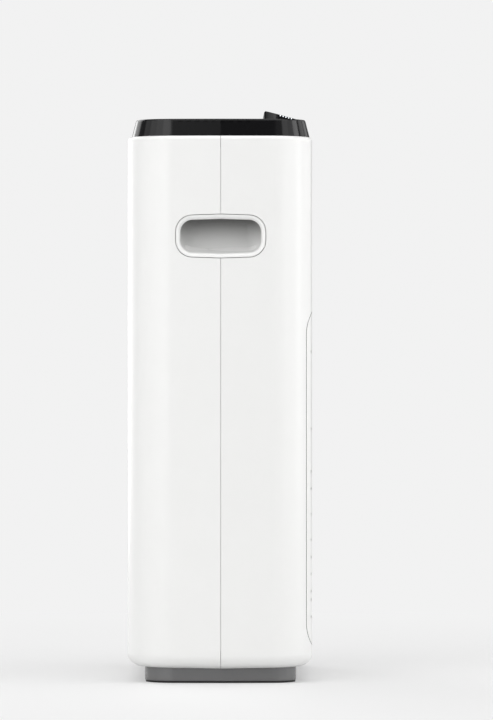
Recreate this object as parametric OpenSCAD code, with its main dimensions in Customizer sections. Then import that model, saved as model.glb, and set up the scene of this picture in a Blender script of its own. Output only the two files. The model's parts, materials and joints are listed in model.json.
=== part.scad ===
// Slim floor-standing air purifier: two white half shells on a grey plinth, with a
// glossy black lid, a sloping control pod and a perforated front cover.
// Millimetres. +Z is up, the front faces -Y, and the origin is under the middle of the body.

/* [Body] */
// Width across the two side creases
body_w = 400; // [390:1:420]
// Depth from the seam to the front face
body_front = 112.2; // [110:0.1:114]
// Depth from the seam to the rear face
body_rear = 114.8; // [112:0.1:117]
// Height of the shells' lower edge above the floor
body_z0 = 19.3; // [18:0.1:22]
// Height of the shells' upper edge
body_z1 = 669.6; // [668:0.1:672]
// Plan radius of the two front corners
front_r = 51.5; // [48:0.5:54]
// Plan radius of the two rear corners
rear_r = 58.5; // [54:0.5:60]
// Radius of the lower edge
low_r = 16; // [12:0.5:18]
// Radius of the upper edge
top_r = 5; // [3:0.5:6]
// Wall thickness of the shells
wall = 2.6; // [2.2:0.1:3]
// Width of the seam between the two shells
seam_gap = 0.5; // [0.3:0.1:0.8]

/* [Lid] */
// Height of the lid's sloping rim
lid_h = 20.9; // [18:0.1:24]
// Draft of the rim, in degrees from vertical
lid_draft = 14.4; // [10:0.2:16]
// Number of outlet slot rows
slot_rows = 12; // [8:1:12]
// Pitch of the outlet slots
slot_pitch = 10.4; // [9:0.1:10.4]
// Width of one outlet slot
slot_w = 5.2; // [4:0.1:6]

/* [Control pod] */
// Width of the pod
pod_w = 240; // [230:1:260]
// Slope of its face, in degrees
pod_slope = 15.4; // [14:0.1:17]
// Travel of a key
key_travel = 1.2; // [0.8:0.1:1.2]

/* [Grips] */
// Height of a grip's middle above the floor
grip_z = 546.8; // [540:0.1:555]
// Width of a grip's outline
grip_w = 110.5; // [100:0.5:115]
// Height of a grip's outline at its ends
grip_h = 51.7; // [48:0.1:56]
// Rise of the outline at the crease, above and below
grip_peak = 1.1; // [0:0.1:2]
// Width of the rounded lip inside the outline
lip_w = 5.6; // [5:0.1:7]
// Depth of the recess
grip_depth = 32; // [28:1:34]

/* [Front cover] */
// Half width of the cover, where it wraps on to the corners
cover_hw = 172.3; // [168:0.1:174]
// Lower and upper edges of the cover
cover_z0 = 44.7; // [42:0.1:48]
cover_z1 = 455.2; // [450:0.1:460]
// Corner radius of the cover's outline
cover_r = 28; // [22:1:30]
// Thickness of the cover
cover_t = 2.1; // [1.8:0.1:2.1]
// Gap round the cover
cover_gap = 0.6; // [0.4:0.1:0.8]
// Pitch of the hole grid, both ways
hole_pitch = 10.5; // [10:0.1:10.5]
// Diameter of a hole
hole_d = 5; // [4:0.1:5.5]

/* [Filter] */
// Width, height and depth of the filter cassette
filter_w = 304; // [296:1:304]
filter_h = 360; // [350:1:360]
filter_d = 38; // [30:1:38]
// Pitch of the pleats
pleat_pitch = 8; // [8:1:12]

/* [Fan] */
// Radius of the impeller
fan_r = 113; // [105:1:114]
// Number of blades
fan_blades = 36; // [24:1:40]
// Radius of the motor shaft
shaft_r = 4; // [3:0.5:5]

/* [Plinth] */
// Height of the rubber ring under the plinth
ring_h = 2; // [1.5:0.1:2.5]
// Wall thickness of the plinth
plinth_wall = 3; // [2.5:0.1:4]

/* [Hidden] */
$fn = 72;
body_d = body_front + body_rear;
seam_y = body_front - body_d / 2;      // where the seam plane lies in the part's frame
front_y = -body_d / 2;
rear_y = body_d / 2;
half_w = body_w / 2;
far = 500;                             // longer than any cut needs to be
side_angle = 2.1909;                   // each side face slopes back from its crease by this much
tiny = 0.1;                            // overlap that joins two shapes of one piece

// A footprint is [half width at the crease, depth to the front, depth to the rear,
// front corner radius, rear corner radius], all measured from the seam plane.
body_plan = [half_w, body_front, body_rear, front_r, rear_r];
lid_plan = [half_w - 4.3, 109, 109.57, 46, 53.11];
plinth_plan = [half_w - 20.5, 92.6, 93.61, 30.7, 36.18];

lid_z0 = body_z1;
lid_z1 = lid_z0 + lid_h;
lid_wall = 2.5;
lid_edge_r = 2;
lid_lean = lid_h * tan(lid_draft);     // how far the rim's top stands in from its foot

flange_w = 24;                         // inward reach of the shells' top and bottom edges
grip_r = 20.7;
grip_gap = 0.3;
cup_wall = 2;

ledge_u0 = 2.5;                        // the ledge behind the cover, as depths below the skin
ledge_u1 = 5;
ledge_in = 14;
ledge_out = 8;

grille_y1 = seam_y + 86;               // rear end of the rows of slots
slot_cells = 4;
slot_field = 300;
slot_bar = 6;
mark_depth = 1;
mark_h = 3.4;

bay_z = (cover_z0 + cover_z1) / 2;
filter_front = front_y + 12.5;
bay_clear = 2;
bay_wall = 2.5;
sheet_edge = 4.2;                      // where the paper and the felt begin inside the cassette
frame_y = filter_front + filter_d + 2; // front face of the chassis
frame_t = 2.5;

fan_z = bay_z;
eye_r = 92;
scroll_y0 = frame_y + frame_t + 0.1;
scroll_y1 = 52.5;
scroll_t = 2.5;
scroll_r0 = 124;
scroll_r1 = 168;
scroll_a0 = 62;                        // angle of the cut-off
scroll_top = fan_z + 210;
lug_turns = [110, 200, 290];           // angles of the lugs that hold the fan housing's front
motor_hole_r = 51;
motor_turns = [45 : 90 : 315];
core_z0 = 53;                          // front of the motor's core
core_h = 12;
blade_y0 = scroll_y0 + 14;
blade_y1 = 34;

tongue_u1 = 4.8;                       // the tongue behind the seam: its inner depth and width
tongue_w = 8;

pod_wall = 2.2;
pod_lean = 4;                          // how far the top of the pod's back leans forward
pod_lip = 0.8;                         // height of the pod's front edge above the lid
pod_back = seam_y - 50.9;
pod_top = lid_z1 + 13.1;
pod_front = pod_back - pod_lean - 0.5 - (pod_top - lid_z1 - pod_lip) / tan(pod_slope);
pod_mid_y = seam_y - 77;
pod_mid_z = pod_top - (pod_back - pod_lean - pod_mid_y) * tan(pod_slope);
key_size = [16, 10];
key_foot = -3.4;                       // underside of a key at rest, from the pod's face
key_xs = [-98, -78, -58, 58, 78, 98];
lens_size = [94, 27];
lens_t = 1.5;
light_r = 0.68;
light_pitch = 3.4;                     // from light to light along the pod's side, and its fall
light_drop = 0.94;

board_y = scroll_y1 + 8;               // front of the parts on the power board
inlet_x = -100;
inlet_z = 62;
door_x = 100;
door_z = 520;
door_w = 54;
door_h = 40;
pin_depth = 3;                         // the door's pin below the rear face
pin_r = 1.2;
pin_z = door_z + door_h / 2 - pin_depth - 0.4;

// The rear shell's screws, by the piece that each pair of them goes into.
chassis_spots = [[-125, 44], [125, 44]];
case_spots = [[-100, 300], [100, 300]];
duct_spots = [[-100, 640], [100, 640]];
shell_spots = concat(chassis_spots, case_spots, duct_spots);
boss_y = rear_y - 7.6;                 // front end of the rear shell's screw bosses
post_y = boss_y - 0.1;                 // rear end of the posts that the screws go into
post_r = 5;
pilot_r = 1.6;
head_seat = 5;                         // depth of the screws' heads below the rear face
plinth_spots = [for (x = [-145, 145], y = [-60, 60]) [x, y]];
rib_h = 8;
foot_seat = 4;                         // the plinth screws' heads, below the deck's top
magnet_r = 4;
magnet_spots = [for (x = [-100, 100], z = [cover_z0 + 7, cover_z1 - 7]) [x, z]];

// ---------- shapes that follow the plan outline ----------

// Half width at the corner's centre, to the nearest 0.001 so that the pieces meet exactly.
function corner_x(hw, depth, r) =
    round(1000 * (hw - (r + (depth - r) * sin(side_angle)) / cos(side_angle))) / 1000;

// One half of a loop round the plan, front (side 0) or rear (side 1). The child is the
// cross-section: x is 0 on the outer face and negative inwards, y is the height.
module half_loop(plan, side, gap = 0) {
    depth = plan[1 + side];
    r = plan[3 + side];
    cx = corner_x(plan[0], depth, r);
    run = (depth - r + r * sin(side_angle)) / cos(side_angle) + 3;
    translate([0, seam_y, 0]) rotate([0, 0, 180 * side]) intersection() {
        union() {
            translate([cx, -depth, 0]) rotate([0, 0, -90]) rotate([90, 0, 0])
                linear_extrude(2 * cx) children();
            translate([cx, r - depth, 0]) {
                corner(r, -90, -side_angle) children();
                rotate([0, 0, -side_angle]) translate([r, run, 0]) rotate([90, 0, 0])
                    linear_extrude(run) children();
            }
            translate([-cx, r - depth, 0]) {
                corner(r, 180, side_angle) children();
                rotate([0, 0, 180 + side_angle]) translate([r, 0, 0]) rotate([90, 0, 0])
                    linear_extrude(run) children();
            }
        }
        translate([-far, -2 * far - gap / 2, -far]) cube([2 * far, 2 * far, 4 * far]);
    }
}

// A quarter turn of the section from the angle a0, cut off where the side face begins.
module corner(r, a0, slope) difference() {
    rotate([0, 0, a0]) rotate_extrude(angle = 90) translate([r, 0]) children();
    rotate([0, 0, slope]) translate([-far, 0, -far]) cube([2 * far, far, 4 * far]);
}

module loop(plan) {
    half_loop(plan, 0) children();
    half_loop(plan, 1) children();
}

// A rounded rectangle that fills the inside of a loop; its edge lies in the loop's flange.
module filling(plan, inset) {
    w = 2 * (plan[0] - inset);
    d = plan[1] + plan[2] - 2 * inset;
    translate([0, seam_y + (plan[2] - plan[1]) / 2]) rounded(w, d, min(plan[3], plan[4]) - inset);
}

// A quarter circle as points, from the angle a0 on.
function quarter(x, y, r, a0, n = 5) =
    [for (i = [0 : n]) let (a = a0 + 90 * i / n) [x + r * cos(a), y + r * sin(a)]];

// A strip of section under the outer face: u is the depth below it, r0 and r1 round its
// lower and upper outer corners.
module band(u1, z0, z1, r0 = 0, r1 = 0, u0 = 0) translate([-u0, 0]) polygon(concat(
    [[u0 - u1, z0]],
    r0 > 0 ? quarter(-r0, z0 + r0, r0, -90) : [[0, z0]],
    r1 > 0 ? quarter(-r1, z1 - r1, r1, 0) : [[0, z1]],
    [[u0 - u1, z1]]
));

module rounded(w, h, r) {
    translate([r - w / 2, -h / 2]) square([w - 2 * r, h]);
    translate([-w / 2, r - h / 2]) square([w, h - 2 * r]);
    for (x = [r - w / 2, w / 2 - r], y = [r - h / 2, h / 2 - r]) translate([x, y]) circle(r);
}

// Stands a drawing in the XZ plane and gives it depth from y0 to y1.
module upright(y0, y1) {
    translate([0, y1, 0]) rotate([90, 0, 0]) linear_extrude(y1 - y0) children();
}

// Turns a drawing to face +X, its x along +Y and its y along +Z, from x0 to x1.
module sideways(x0, x1) {
    translate([x0, seam_y, 0]) rotate([0, 0, 90]) rotate([90, 0, 0])
        linear_extrude(x1 - x0) children();
}

module at_fan() translate([0, 0, fan_z]) rotate([-90, 0, 0]) children();

// A cylinder along Y, from y0 to y1.
module rod(r, y0, y1, x = 0, z = 0) {
    translate([x, y0, z]) rotate([-90, 0, 0]) cylinder(r = r, h = y1 - y0);
}

// A tube of the given inner and outer radius along Y.
module tube(r0, r1, y0, y1, x = 0, z = 0) {
    difference() {
        rod(r1, y0, y1, x, z);
        rod(r0, y0 - 1, y1 + 1, x, z);
    }
}

// A pan-head screw with a cross recess. It points along -Z from the head's underside.
module pan_screw(head_r, head_h, shank_r, length) {
    difference() {
        cylinder(r = head_r, h = head_h);
        for (a = [0, 90]) rotate(a) translate([-head_r * 0.55, -0.5, head_h * 0.4])
            cube([head_r * 1.1, 1, head_h]);
    }
    translate([0, 0, -length]) cylinder(r = shank_r, h = length + tiny);
}

// ---------- shells ----------

module shell_section() {
    difference() {
        band(flange_w, body_z0, body_z1, low_r, top_r);
        translate([-wall, 0]) band(30, body_z0 + wall, body_z1 - wall, low_r - wall, top_r - wall);
    }
}

module cover_outline(grow = 0) {
    translate([0, bay_z])
        rounded(2 * (cover_hw + grow), cover_z1 - cover_z0 + 2 * grow, cover_r + grow);
}

// A block of the cover's outline, grown by the given width.
module cover_block(grow = 0) upright(front_y - 10, -30) cover_outline(grow);

// The section of a strip that runs a little past the cover, above and below.
module cover_band(u1, u0 = 0) band(u1, cover_z0 - 14.7, cover_z1 + 14.8, u0 = u0);

// Outline of a grip in the side view, with a slight peak at the crease.
function grip_points(inset) =
    let (w = grip_w / 2 - inset, h = grip_h / 2 - inset, r = grip_r - inset, p = grip_peak, n = 9)
    concat(quarter(w - r, h - r, r, 0, n), [[0, h + p]], quarter(r - w, h - r, r, 90, n),
           quarter(r - w, r - h, r, 180, n), [[0, -h - p]], quarter(w - r, r - h, r, 270, n));

module grip_area(inset) translate([0, grip_z]) polygon(grip_points(inset));

module grip_cutouts() for (m = [0, 1]) mirror([m, 0, 0])
    sideways(half_w - 40, half_w + 10) grip_area(-grip_gap);

module front_shell() color("white") {
    difference() {
        half_loop(body_plan, 0, seam_gap) shell_section();
        cover_block(cover_gap);
        grip_cutouts();
    }
    // the ledge that the cover lies against
    difference() {
        intersection() {
            half_loop(body_plan, 0, seam_gap) cover_band(ledge_u1, ledge_u0);
            cover_block(ledge_out);
        }
        cover_block(-ledge_in);
        for (s = magnet_spots) rod(magnet_r + 0.8, front_y - 1, front_y + 12, s[0], s[1]);
    }
}

module tongue_band(u0) band(tongue_u1, body_z0 + 20.7, body_z1 - 14.6, u0 = u0);

module rear_shell() color("white") {
    difference() {
        union() {
            half_loop(body_plan, 1, seam_gap) shell_section();
            // tongue that closes the seam from inside
            intersection() {
                union() {
                    half_loop(body_plan, 0) tongue_band(wall + 0.3);
                    half_loop(body_plan, 1) tongue_band(wall - tiny);
                }
                translate([-far, seam_y - tongue_w / 2, 0]) cube([2 * far, tongue_w, 4 * far]);
            }
            for (s = shell_spots) rod(6.5, boss_y, rear_y - 1, s[0], s[1]);
            // ears for the sensor door's pin
            for (m = [-1, 1])
                translate([door_x + m * (door_w / 2 + 2.4) - 2, rear_y - 6, pin_z - 4]) cube([4, 5, 8]);
        }
        grip_cutouts();
        for (s = shell_spots) {
            rod(4.7, rear_y - head_seat, rear_y + 1, s[0], s[1]);
            rod(2.2, boss_y - 1.4, rear_y + 1, s[0], s[1]);
        }
        translate([inlet_x, 0, inlet_z]) {
            upright(rear_y - 10, rear_y + 1) square([28.2, 21.2], center = true);
            upright(rear_y - 1.5, rear_y + 1) rounded(33, 26, 2.5);
        }
        translate([door_x - door_w / 2, rear_y - 3.5, door_z - door_h / 2])
            cube([door_w, 5, door_h]);
        door_pin_axis() cylinder(r = pin_r, h = door_w + 7, center = true);
    }
    // stops behind the door's lower edge
    for (m = [-1, 1])
        translate([door_x + m * 18 - 4, rear_y - 4.2, door_z - door_h / 2 - 3]) cube([8, 1.7, 6]);
}

module door_pin_axis() {
    translate([door_x, rear_y - pin_depth, pin_z]) rotate([0, 90, 0]) children();
}

// ---------- front cover ----------

// Rows that carry a hole in the outermost column, counted from the top, and the rule for
// the rest: the count of holes down a column grows as the square of the row.
edge_rows = [0, 9, 14, 16, 19, 22, 24, 26, 28, 29, 31];
hole_rows = 32;
hole_cols = 15;
hole_top = 405.5;
function holes_above(row, phase) = floor(0.05 * row + 0.0092 * row * row + phase);
function fraction(x) = x - floor(x);
function has_hole(col, row) = abs(col) == hole_cols
    ? len(search(row, edge_rows)) > 0
    : let (phase = fraction(abs(col) * 0.618 + 0.35))
      holes_above(row, phase) > holes_above(row - 1, phase);

module front_cover() color("white") {
    difference() {
        intersection() {
            half_loop(body_plan, 0) cover_band(cover_t);
            cover_block();
        }
        for (col = [-hole_cols : hole_cols], row = [0 : hole_rows - 1]) if (has_hole(col, row))
            rod(hole_d / 2, front_y - 3, front_y + 6, col * hole_pitch,
                hole_top - row * hole_pitch);
    }
}

module cover_magnets() color("silver")
    for (s = magnet_spots) rod(magnet_r, front_y + cover_t, front_y + cover_t + 2.4, s[0], s[1]);

module catch_plates() color("silver")
    for (s = magnet_spots) rod(magnet_r + 3, front_y + ledge_u1, front_y + ledge_u1 + 1, s[0], s[1]);

module reed_switch() color("dimgray")
    translate([-84, front_y + ledge_u1, cover_z1 - 10]) cube([8, 5, 6]);

// ---------- grips ----------

// The cup on the +X side. Its rim lies in the side face, and its floor slopes up and in.
module grip() {
    open = lip_w + grip_gap;
    x_in = half_w - grip_depth;
    x_lip = half_w - 5.2;
    difference() {
        union() {
            intersection() {
                sideways(half_w - 9, half_w + 5) grip_area(0);
                loop(body_plan) band(7, grip_z - 40, grip_z + 40);
            }
            hull() {
                sideways(half_w - 8, half_w - 7) grip_area(2);
                sideways(x_in - cup_wall, x_in + 1) cup_back(cup_wall);
            }
        }
        hull() {
            sideways(half_w - 5.5, half_w - 4.5) grip_area(open);
            sideways(x_in, x_in + 1) cup_back(0);
        }
        // the rounded lip, as three steps of a quarter circle
        hull() for (a = [0, 35, 65, 90])
            sideways(x_lip + 5.4 * sin(a), x_lip + 5.4 * sin(a) + tiny)
                grip_area(open - 5.3 * (1 - cos(a)));
    }
}

module cup_back(grow) translate([0, grip_z + 11]) rounded(84 + 2 * grow, 30 + 2 * grow, 11);

module left_grip() color("white") mirror([1, 0, 0]) grip();
module right_grip() color("white") grip();

// ---------- lid and outlet ----------

module lid_section() {
    lean = lid_lean;
    z_edge = lid_z1 - lid_edge_r;
    z_in = lid_z1 - lid_wall;
    difference() {
        union() {
            polygon([[-9, lid_z0], [0, lid_z0], [lid_edge_r * tan(lid_draft) - lean, z_edge],
                     [-lean - lid_edge_r * 0.8, lid_z1], [-16, lid_z1], [-16, z_in], [-9, lid_z1 - 8]]);
            translate([-lean - lid_edge_r * 0.83, z_edge]) circle(lid_edge_r);
        }
        polygon([[-lid_wall, lid_z0 - 1], [-lid_wall - lean * 0.88, z_in], [-20, z_in], [-20, lid_z0 - 1]]);
    }
}

module slot(w, l) {
    square([l - w, w], center = true);
    for (m = [-1, 1]) translate([m * (l - w) / 2, 0]) circle(w / 2);
}

function row_y(i) = grille_y1 - (i + 0.5) * slot_pitch;

// Shallow marks on the rim that carry on the rows of slots, where the side is flat.
module rim_marks() for (i = [0 : slot_rows - 1], m = [0, 1]) let (y = row_y(i) - seam_y)
    if (abs(y) + slot_w < lid_plan[2] - lid_plan[4]) mirror([m, 0, 0])
        translate([lid_plan[0] - abs(y) * tan(side_angle), row_y(i), lid_z0])
            rotate([0, 0, sign(y) * side_angle]) rotate([0, -lid_draft, 0])
                translate([-mark_depth, -slot_w / 2, lid_h - lid_edge_r - mark_h])
                    cube([4, slot_w, mark_h]);

module lid() color("black") {
    cell = (slot_field + slot_bar) / slot_cells;
    difference() {
        union() {
            loop(lid_plan) lid_section();
            translate([0, 0, lid_z1 - lid_wall]) linear_extrude(lid_wall) filling(lid_plan, 13);
        }
        for (i = [0 : slot_rows - 1], k = [0 : slot_cells - 1])
            translate([(k + 0.5) * cell - (slot_field + slot_bar) / 2, row_y(i), lid_z1 - 10])
                linear_extrude(20) slot(slot_w, cell - slot_bar);
        rim_marks();
        // window under the pod for its electronics
        translate([-pod_w / 2 + 9, pod_front + 7, lid_z1 - 5])
            cube([pod_w - 18, pod_back - pod_front - 14, 10]);
    }
}

module outlet_screen() color("dimgray") {
    z = lid_z0 + 6;
    y0 = grille_y1 - slot_rows * slot_pitch - 3;
    y1 = grille_y1 + 3;
    difference() {
        translate([-156, y0, z]) cube([312, y1 - y0, 4]);
        translate([-152, y0 + 4, z - 1]) cube([304, y1 - y0 - 8, 6]);
    }
    for (i = [1 : 18])
        translate([16 * i - 153.1, y0 + 3.5, z]) cube([1.2, y1 - y0 - 7, 4]);
}

// A four-sided hood from the scroll's mouth to the slots.
module hood(grow, z0, z1) hull() {
    translate([56 - grow, scroll_y0 - grow + 2, z0])
        cube([112 + 2 * grow, scroll_y1 - scroll_y0 - 4 + 2 * grow, 1]);
    translate([-152 - grow, grille_y1 - slot_rows * slot_pitch - grow, z1 - 1])
        cube([304 + 2 * grow, slot_rows * slot_pitch + 2 * grow, 1]);
}

module outlet_duct() color("gainsboro") {
    z1 = lid_z0 + 6;
    difference() {
        hood(2, scroll_top, z1);
        hood(0, scroll_top - 1, z1 + 1);
    }
    for (s = duct_spots) tube(pilot_r, post_r, grille_y1 - 6, post_y, s[0], s[1]);
}

// ---------- control pod ----------

// The pod's own frame: origin in the middle of its sloping face, z along the normal.
module on_pod() translate([0, pod_mid_y, pod_mid_z]) rotate([pod_slope, 0, 0]) children();

module pod_plan(t) {
    r = 20 - t;
    w = pod_w - 2 * t;
    translate([0, pod_back - t - 50]) rounded(w, 100, r);
}

// The pod as a wedge with a leaning back, drawn in by a wall thickness.
function pod_roof(y, t) =
    pod_top - (pod_back - pod_lean - y) * tan(pod_slope) - t / cos(pod_slope);

module pod_block(t) {
    back = pod_back - pod_lean - t;
    front = pod_front + 0.5 + t;
    intersection() {
        translate([0, 0, lid_z1 - t]) linear_extrude(30) pod_plan(t);
        translate([-pod_w, 0, 0]) rotate([90, 0, 90]) linear_extrude(2 * pod_w)
            polygon([[pod_front + t, lid_z1 - t - 1], [pod_back - t + 0.3, lid_z1 - t - 1],
                     [back + 1.4, pod_roof(back, t) - 1.2], [back, pod_roof(back, t)],
                     [front, pod_roof(front, t)], [pod_front + t, lid_z1 - t]]);
    }
}

module control_pod() color("black") {
    difference() {
        pod_block(0);
        pod_block(pod_wall);
        on_pod() {
            translate([0, 0, -lens_t - 0.1])
                linear_extrude(5) rounded(lens_size[0] + 0.4, lens_size[1] + 0.4, 3);
            translate([0, 0, -6]) linear_extrude(8) square([60, 18], center = true);
            for (x = key_xs) translate([x, 0, -6])
                linear_extrude(8) rounded(key_size[0] + 0.8, key_size[1] + 0.8, 2.9);
        }
        for (m = [-1, 1]) side_light_spots(m) cylinder(r = light_r + 0.02, h = 2, center = true);
    }
}

// Five small lights in a line under the sloping edge, on both sides of the pod.
module side_light_spots(m) for (i = [0 : 4])
    translate([m * pod_w / 2, pod_back - 22.5 - light_pitch * i, pod_top - 6 - light_drop * i])
        rotate([0, 90, 0]) children();

module side_lights() color("white") for (m = [-1, 1])
    side_light_spots(m) translate([0, 0, -m * 0.5]) cylinder(r = light_r, h = 1, center = true);

module display_lens() color("black") on_pod() translate([0, 0, -lens_t]) linear_extrude(lens_t)
    rounded(lens_size[0], lens_size[1], 2.8);

module display_module() color("darkslategray") on_pod()
    translate([-28, -8, -lens_t - 4.1]) cube([56, 16, 3.9]);

module control_board() color("darkgreen") on_pod()
    translate([10 - pod_w / 2, -15, -9.2]) cube([pod_w - 20, 30, 1.6]);

module key_switches() color("gray") on_pod() for (x = key_xs) {
    translate([x - 3, -3, -7.6]) cube([6, 6, 2.4]);
    translate([x, 0, key_foot - key_travel - 0.7]) cylinder(r = 1.5, h = 0.4);
}

// One key: a cap with a flange under the pod's skin that keeps it in.
module key(x) color("black") on_pod() translate([x, 0, 0]) {
    translate([0, 0, -2.6]) linear_extrude(2.9) rounded(key_size[0], key_size[1], 2.5);
    translate([0, 0, key_foot])
        linear_extrude(0.9) square([key_size[0] + 2.4, key_size[1] + 2.4], center = true);
}

// ---------- plinth ----------

module plinth() color("gray") {
    difference() {
        union() {
            loop(plinth_plan) {
                band(plinth_wall, ring_h, body_z0 - plinth_wall + tiny, 1.2);
                band(16, body_z0 - plinth_wall, body_z0);
            }
            translate([0, 0, body_z0 - plinth_wall])
                linear_extrude(plinth_wall) filling(plinth_plan, 9);
            // ribs and screw bosses under the deck
            for (x = [-120 : 40 : 120])
                translate([x - 1, -88, body_z0 - rib_h - 1]) cube([2, 176, rib_h]);
            for (s = plinth_spots)
                translate([s[0], s[1], body_z0 - rib_h - 1]) cylinder(r = 7, h = rib_h);
        }
        for (s = plinth_spots) translate([s[0], s[1], 0]) {
            cylinder(r = 2.3, h = 40);
            cylinder(r = 4.6, h = body_z0 - foot_seat);
        }
    }
}

module foot_ring() color("black") loop(plinth_plan) band(7, 0, ring_h, u0 = 1);

module plinth_screws() color("silver") for (s = plinth_spots)
    translate([s[0], s[1], body_z0 - foot_seat]) mirror([0, 0, 1]) pan_screw(4, 2.4, 1.9, 11);

module shell_screws() color("silver") for (s = shell_spots)
    translate([s[0], rear_y - head_seat, s[1]]) rotate([-90, 0, 0]) pan_screw(4, 2.6, 1.55, 12);

// ---------- filter and mid frame ----------

module frame_box(w, h, t, y0, y1) upright(y0, y1) translate([0, bay_z]) difference() {
    square([w, h], center = true);
    square([w - 2 * t, h - 2 * t], center = true);
}

module chassis() color("gainsboro") {
    bay_w = filter_w + 2 * bay_clear + 2 * bay_wall;
    bay_h = filter_h + 2 * bay_clear + 2 * bay_wall;
    difference() {
        union() {
            upright(frame_y, frame_y + frame_t) difference() {
                translate([0, (body_z0 + body_z1) / 2]) rounded(376, body_z1 - body_z0 - 7, 16);
                translate([0, fan_z]) circle(98);
            }
            for (r = [31, 64]) tube(r, r + 3, frame_y, frame_y + frame_t, 0, fan_z);
            for (a = [0 : 60 : 300])
                translate([0, frame_y + 0.3, fan_z]) rotate([0, a, 0])
                    translate([32, 0, -1.5]) cube([68, frame_t - 0.6, 3]);
            frame_box(bay_w, bay_h, bay_wall, front_y + ledge_u1 + 1.8, frame_y + tiny);
            for (s = chassis_spots) rod(post_r, frame_y + 1, post_y, s[0], s[1]);
            // floor, with a foot over each screw of the plinth
            translate([0, 0, body_z0 + 0.1]) linear_extrude(frame_t) rounded(316, 152, 12);
            for (s = plinth_spots) translate([s[0], s[1], body_z0 + 1]) cylinder(r = 5, h = 14);
        }
        rod(6, frame_y - 1, frame_y + 5, loom_gap[0], loom_gap[1]);
        for (s = chassis_spots) rod(pilot_r, rear_y - 20, rear_y, s[0], s[1]);
        for (s = plinth_spots) translate([s[0], s[1], body_z0 - 1]) cylinder(r = 1.9, h = 12);
    }
}

module prefilter_frame() color("dimgray") {
    y0 = filter_front - 4;
    frame_box(filter_w, filter_h, 7, y0, filter_front - 0.1);
    for (x = [-48, 48])
        translate([x - 1.5, y0, bay_z - filter_h / 2 + 6]) cube([3, 3, filter_h - 12]);
    for (z = [-88, 0, 88])
        translate([6 - filter_w / 2, y0, bay_z + z - 1.5]) cube([filter_w - 12, 3, 3]);
}

module prefilter_mesh() color("gray")
    translate([7 - filter_w / 2, filter_front - 1, bay_z + 7 - filter_h / 2])
        cube([filter_w - 14, 0.6, filter_h - 14]);

module filter_frame() color("white")
    frame_box(filter_w, filter_h, 4, filter_front, filter_front + filter_d);

// Zigzag paper, drawn in plan and standing the height of the frame.
module filter_pleats() color("ivory") {
    n = floor((filter_w - 9) / pleat_pitch);
    w = n * pleat_pitch;
    y0 = filter_front + 2;
    d = filter_d - 9;
    t = 3.6;
    front = [for (i = [0 : 2 * n]) [i * pleat_pitch / 2 - w / 2, y0 + (i % 2) * d]];
    back = [for (i = [2 * n : -1 : 0]) front[i] + [0, t]];
    translate([0, 0, bay_z + sheet_edge - filter_h / 2])
        linear_extrude(filter_h - 2 * sheet_edge) polygon(concat(front, back));
}

module carbon_sheet() color("black")
    translate([sheet_edge - filter_w / 2, filter_front + filter_d - 3.2, bay_z + sheet_edge - filter_h / 2])
        cube([filter_w - 2 * sheet_edge, 3, filter_h - 2 * sheet_edge]);

module filter_gasket() color("dimgray")
    frame_box(filter_w, filter_h, 5, filter_front + filter_d, filter_front + filter_d + 1.8);

// Pull ribbons that hang from the middle bar of the prefilter frame.
module filter_tabs() color("steelblue") for (x = [-1, 1])
    translate([x * 100 - 10, filter_front - 4.5, bay_z - 48]) cube([20, 0.5, 49.5]);

// ---------- fan ----------

// Spiral wall of the fan housing, seen from the front, opening upwards on the right.
function scroll_radius(a) = scroll_r0 + (scroll_r1 - scroll_r0) * (a - scroll_a0) / (360 - scroll_a0);
function scroll_at(a, grow) = (scroll_radius(a) + grow) * [cos(a), sin(a)];
function scroll_points(grow) = let (n = 40, top = scroll_top - fan_z) concat(
    [for (i = [0 : n]) scroll_at(scroll_a0 + (360 - scroll_a0) * i / n, grow)],
    [[scroll_r1 + grow, top], [scroll_r0 * cos(scroll_a0) - grow, top]]);

module scroll_area(grow) translate([0, fan_z]) polygon(scroll_points(grow));

module scroll_front() color("gainsboro") {
    difference() {
        upright(scroll_y0, scroll_y0 + scroll_t) scroll_area(scroll_t);
        rod(eye_r, scroll_y0 - 1, scroll_y0 + 5, 0, fan_z);
    }
    tube(eye_r, eye_r + 2.4, scroll_y0, blade_y0 - 3.5, 0, fan_z);
}

module scroll_case() color("gainsboro") {
    difference() {
        upright(scroll_y0 + scroll_t, scroll_y1) scroll_area(scroll_t);
        upright(scroll_y0, scroll_y1 - scroll_t) scroll_area(0);
        // the mouth
        translate([scroll_r0 * cos(scroll_a0), scroll_y0, scroll_top - 10])
            cube([scroll_r1 - scroll_r0 * cos(scroll_a0), scroll_y1 - scroll_y0 - scroll_t, 20]);
        rod(45, scroll_y1 - 5, scroll_y1 + 5, 0, fan_z);
        for (a = motor_turns)
            at_fan() rotate(a) translate([motor_hole_r, 0, scroll_y1 - 5]) cylinder(r = 2, h = 10);
    }
    for (s = case_spots) difference() {
        rod(post_r, scroll_y1 - tiny, post_y, s[0], s[1]);
        rod(pilot_r, rear_y - 20, rear_y, s[0], s[1]);
    }
    for (s = lug_spots) difference() {
        rod(post_r, scroll_y0 + scroll_t, scroll_y0 + 20, s[0], s[1]);
        rod(pilot_r, scroll_y0, scroll_y0 + 16, s[0], s[1]);
    }
}

lug_spots = [for (a = lug_turns) [0, fan_z] + scroll_at(a, 6)];

module scroll_screws() color("silver") for (s = lug_spots)
    rod(1.55, scroll_y0 + scroll_t - tiny, scroll_y0 + scroll_t - tiny + 12, s[0], s[1]);

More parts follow.
